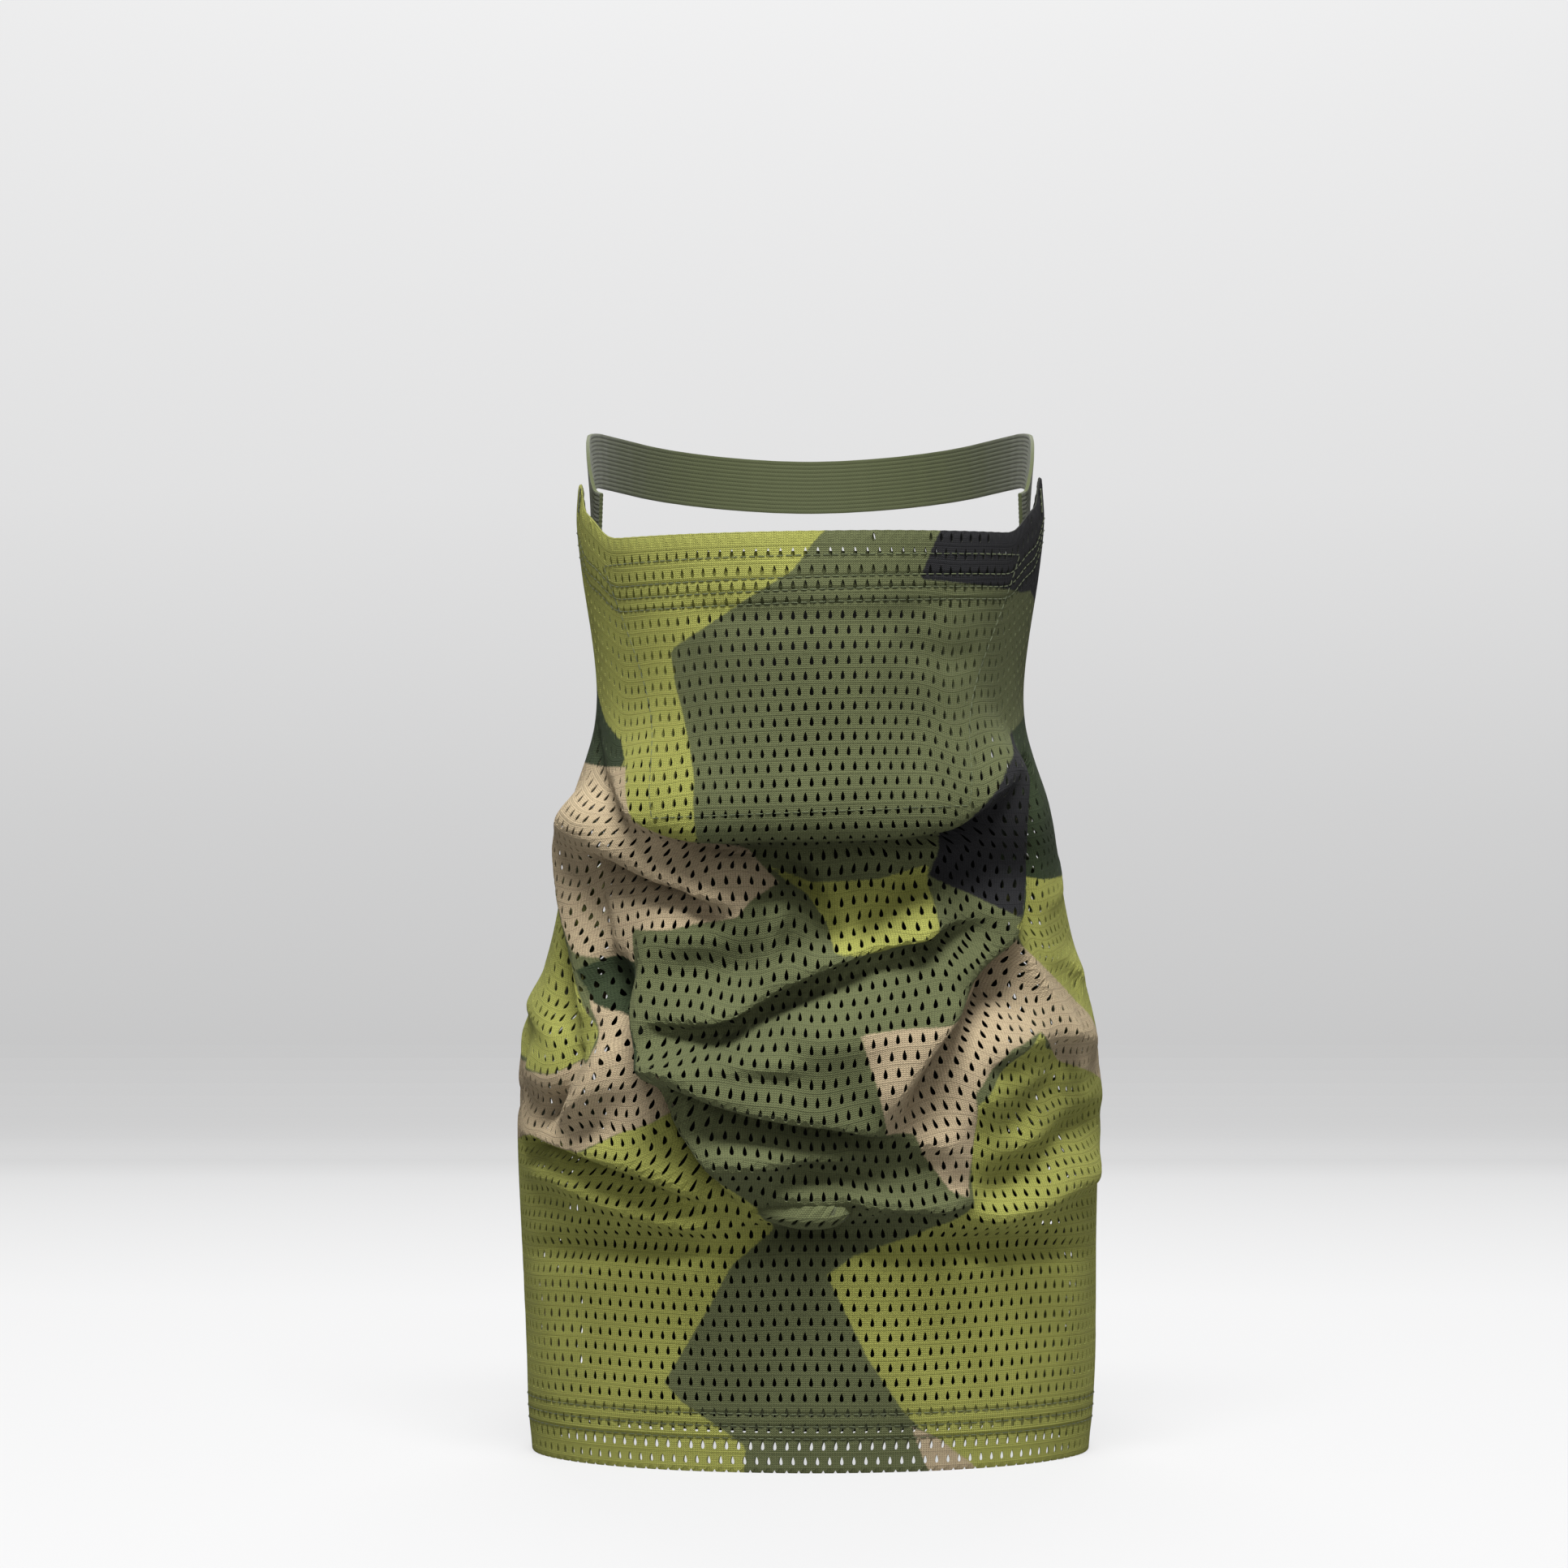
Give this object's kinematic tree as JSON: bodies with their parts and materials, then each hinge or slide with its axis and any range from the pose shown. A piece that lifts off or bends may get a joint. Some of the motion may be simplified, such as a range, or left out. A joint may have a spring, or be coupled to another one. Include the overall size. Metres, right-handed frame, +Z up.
{
  "type": "camouflage mesh face mask",
  "caption": "Tube-shaped camouflage mesh mask for face and neck, with turned hems, a breathing lining over nose and mouth, and an elastic head strap.",
  "frame": {"origin": "on the floor under the middle of the worn mask, at the centre of its bottom box", "axes": "+Z up along the tube, the face looks along -Y, the wearer's left is +X"},
  "size_m": [0.21, 0.222, 0.3691],
  "materials": {
    "camo_mesh": "matte perforated polyester knit, printed camouflage",
    "camo_mesh_inner": "matte perforated polyester knit, printed camouflage, second layer",
    "thread": "polyester sewing thread",
    "elastic": "ribbed knitted elastic"
  },
  "bodies": {
    "skirt": {"back_panel_neck": "camo_mesh", "back_panel_skirt": "camo_mesh", "bottom_hem_back": "camo_mesh_inner", "bottom_hem_front": "camo_mesh_inner", "bottom_stitch_back_1": "thread", "bottom_stitch_back_2": "thread", "bottom_stitch_back_3": "thread", "bottom_stitch_front_1": "thread", "bottom_stitch_front_2": "thread", "bottom_stitch_front_3": "thread", "front_panel_neck": "camo_mesh", "front_panel_skirt": "camo_mesh", "seam_left_neck": "camo_mesh_inner", "seam_left_skirt": "camo_mesh_inner", "seam_right_neck": "camo_mesh_inner", "seam_right_skirt": "camo_mesh_inner"},
    "face": {"back_panel_nape": "camo_mesh", "bartack_left": "thread", "bartack_right": "thread", "face_lining": "camo_mesh_inner", "front_panel_face": "camo_mesh", "lining_stitch_bottom": "thread", "lining_stitch_left": "thread", "lining_stitch_right": "thread", "lining_stitch_top": "thread", "seam_left_face": "camo_mesh_inner", "seam_right_face": "camo_mesh_inner", "strap_end_left": "elastic", "strap_end_right": "elastic", "top_hem_back": "camo_mesh_inner", "top_hem_front": "camo_mesh_inner", "top_stitch_back_1": "thread", "top_stitch_back_2": "thread", "top_stitch_back_3": "thread", "top_stitch_front_1": "thread", "top_stitch_front_2": "thread", "top_stitch_front_3": "thread"},
    "strap": {"head_strap": "elastic"}
  },
  "joints": [
    {"name": "pull_down", "type": "slide", "parent": "skirt", "child": "face", "axis": [0, 0, -1], "range_m": [0, 0.08], "stiffness_N_per_m": 80, "deforming": ["back_panel_neck", "front_panel_neck", "seam_left_neck", "seam_right_neck"]},
    {"name": "strap_swing", "type": "hinge", "parent": "face", "child": "strap", "pos_m": [0, -0.0226, 0.3474], "axis": [1, 0, 0], "range_deg": [-6, 40], "stiffness_Nm_per_rad": 0.1}
  ]
}
